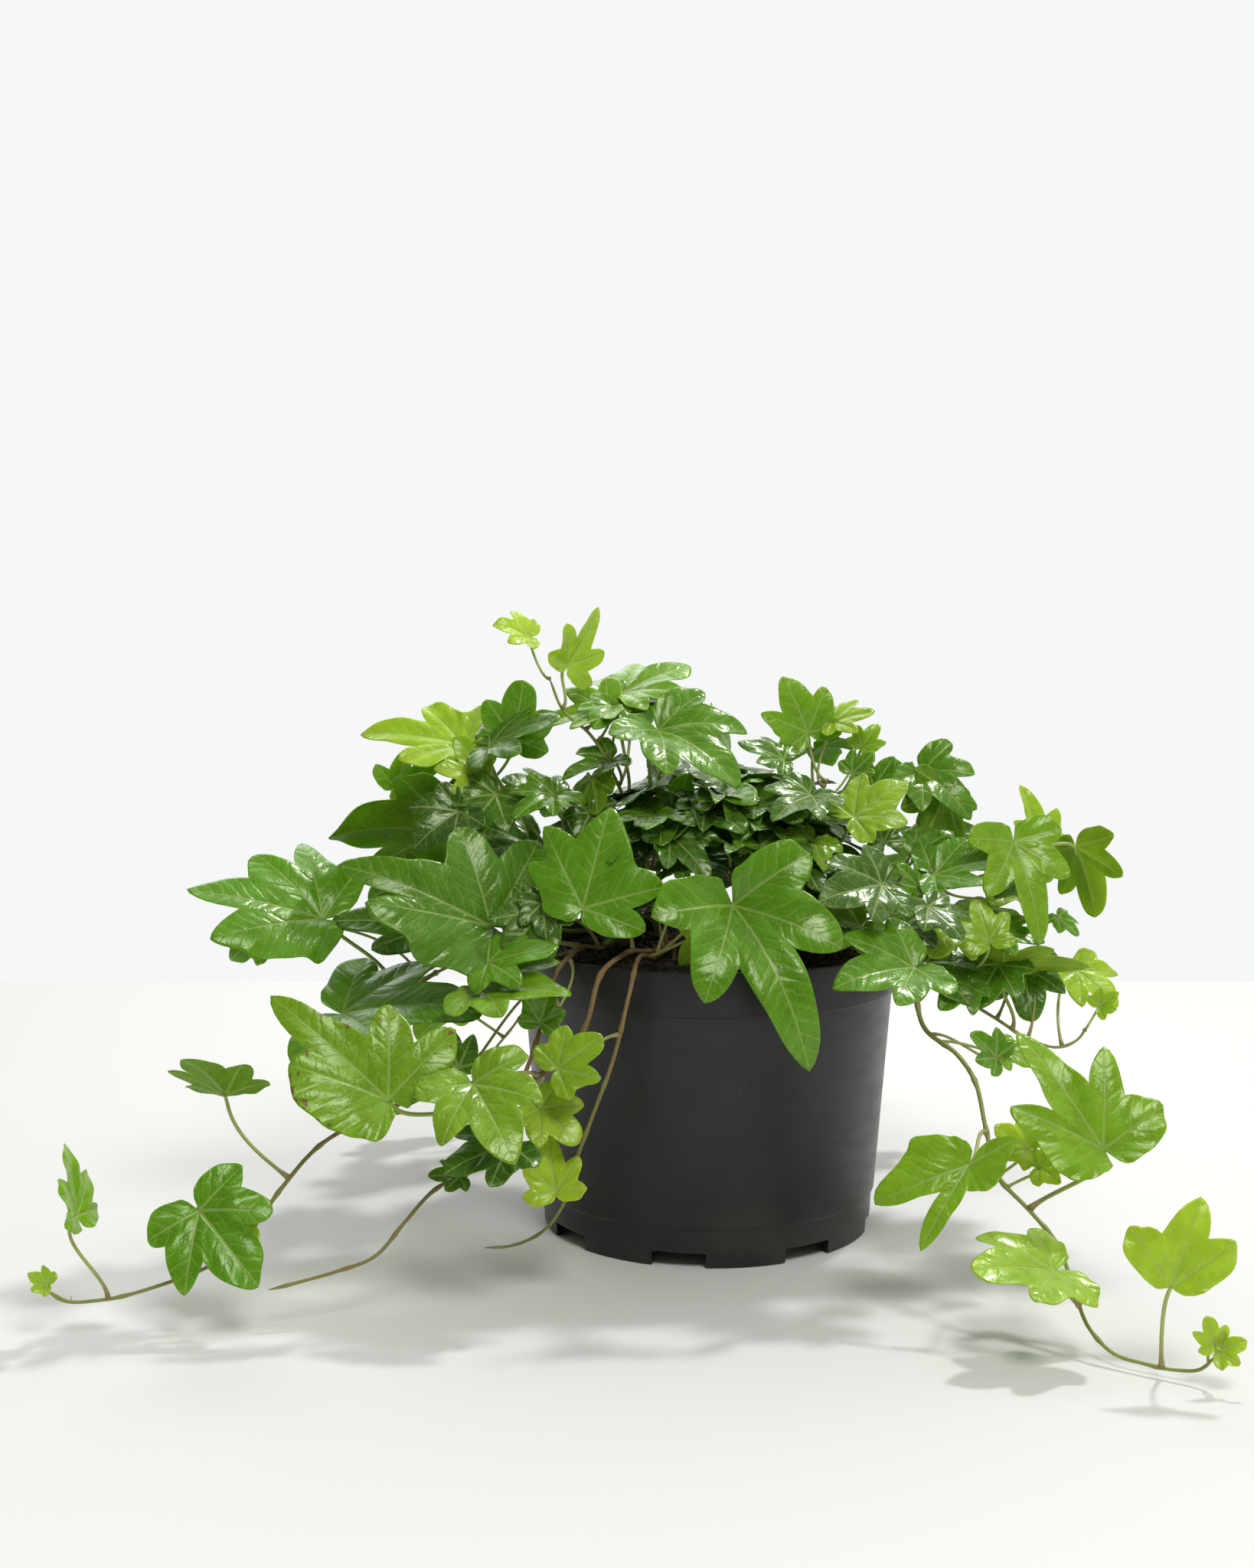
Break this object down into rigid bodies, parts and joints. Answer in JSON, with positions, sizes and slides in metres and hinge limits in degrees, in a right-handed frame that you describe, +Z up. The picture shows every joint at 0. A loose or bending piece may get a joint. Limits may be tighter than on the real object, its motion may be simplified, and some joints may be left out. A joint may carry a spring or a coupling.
{
  "type": "potted ivy",
  "caption": "Potted ivy with lobed leaves on trailing stems, rooted in soil in a round tapered nursery pot that stands on its foot ring.",
  "frame": {"origin": "centre of the pot's underside, at the level the pot stands on", "axes": "+Z up along the pot's axis, -Y towards the front, where two stems trail left and one trails right; +X right"},
  "size_m": [0.3851, 0.3029, 0.244],
  "materials": {
    "pot": "satin black moulded plastic",
    "soil": "rough dark peat",
    "stems": "smooth brown to green bark",
    "leaves": "waxy satin green with pale veins"
  },
  "bodies": {
    "root": {"leaf_back_1": "leaves", "leaf_back_2": "leaves", "leaf_back_3": "leaves", "leaf_far_right_1": "leaves", "leaf_far_right_2": "leaves", "leaf_far_right_3": "leaves", "leaf_far_right_4": "leaves", "leaf_far_right_5": "leaves", "leaf_left_1": "leaves", "leaf_left_2": "leaves", "leaf_left_3": "leaves", "leaf_left_4": "leaves", "leaf_left_5": "leaves", "leaf_left_6": "leaves", "leaf_left_7": "leaves", "leaf_low_left_1": "leaves", "leaf_low_left_2": "leaves", "leaf_low_left_3": "leaves", "leaf_low_left_4": "leaves", "leaf_low_left_5": "leaves", "leaf_low_left_6": "leaves", "leaf_low_left_7": "leaves", "leaf_right_1": "leaves", "leaf_right_2": "leaves", "leaf_right_3": "leaves", "leaf_right_4": "leaves", "leaf_right_5": "leaves", "leaf_right_6": "leaves", "leaf_right_7": "leaves", "leaf_right_8": "leaves", "leaf_right_9": "leaves", "leaf_top_1": "leaves", "leaf_top_2": "leaves", "leaf_top_3": "leaves", "leaf_top_4": "leaves", "leaf_top_5": "leaves", "leaf_top_6": "leaves", "leaf_top_7": "leaves", "leaf_top_8": "leaves", "leaf_trail_left_1": "leaves", "leaf_trail_left_2": "leaves", "leaf_trail_left_3": "leaves", "leaf_trail_right_1": "leaves", "leaf_trail_right_2": "leaves", "leaf_trail_right_3": "leaves", "leaf_trail_right_4": "leaves", "pot": "pot", "soil": "soil", "stem_back_left": "stems", "stem_back_right": "stems", "stem_front": "stems", "stem_left_long": "stems", "stem_left_mid": "stems", "stem_left_short": "stems", "stem_right_long": "stems", "stem_right_low": "stems", "stem_right_top": "stems", "stem_right_up": "stems", "stem_top": "stems", "stem_upper_left": "stems"}
  },
  "joints": []
}
